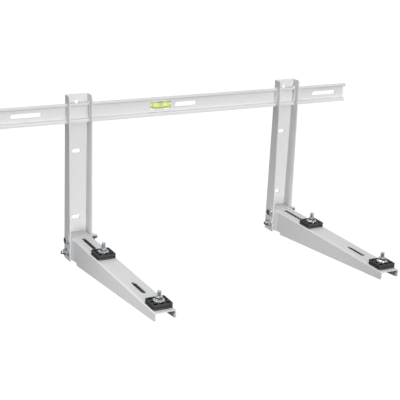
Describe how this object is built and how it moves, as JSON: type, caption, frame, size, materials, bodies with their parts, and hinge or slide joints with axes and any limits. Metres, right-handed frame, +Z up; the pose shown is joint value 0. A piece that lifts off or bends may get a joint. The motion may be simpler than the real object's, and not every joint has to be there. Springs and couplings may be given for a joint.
{
  "type": "air conditioner outdoor unit bracket",
  "caption": "Wall bracket for an outdoor air conditioner unit: a slotted crossbar with a spirit level passes through channel uprights whose tapered arms carry rubber feet on bolts.",
  "frame": {"origin": "in the wall plane, at the centre of the four cross slots that the uprights are screwed through", "axes": "+X along the crossbar, to the right seen from the front; +Y into the wall, so the arms point to -Y; +Z up"},
  "size_m": [0.8, 0.418, 0.34],
  "materials": {
    "painted_steel": "pale grey polyester powder coat, faint orange peel",
    "zinc": "blue zinc plated",
    "rubber": "black moulded rubber",
    "clear_acrylic": "clear moulded acrylic",
    "level_liquid": "yellow-green liquid",
    "plug_plastic": "moulded plug"
  },
  "bodies": {
    "root": {"crossbar": "painted_steel", "level_block": "clear_acrylic", "level_plug": "plug_plastic", "level_liquid": "level_liquid", "left_upright": "painted_steel", "left_arm": "painted_steel", "left_rear_foot": "rubber", "left_front_foot": "rubber", "left_foot_bolts": "zinc", "left_foot_washers": "zinc", "left_foot_nuts": "zinc", "left_joint_bolts": "zinc", "left_joint_washers": "zinc", "left_joint_nuts": "zinc", "right_upright": "painted_steel", "right_arm": "painted_steel", "right_rear_foot": "rubber", "right_front_foot": "rubber", "right_foot_bolts": "zinc", "right_foot_washers": "zinc", "right_foot_nuts": "zinc", "right_joint_bolts": "zinc", "right_joint_washers": "zinc", "right_joint_nuts": "zinc"}
  },
  "joints": []
}
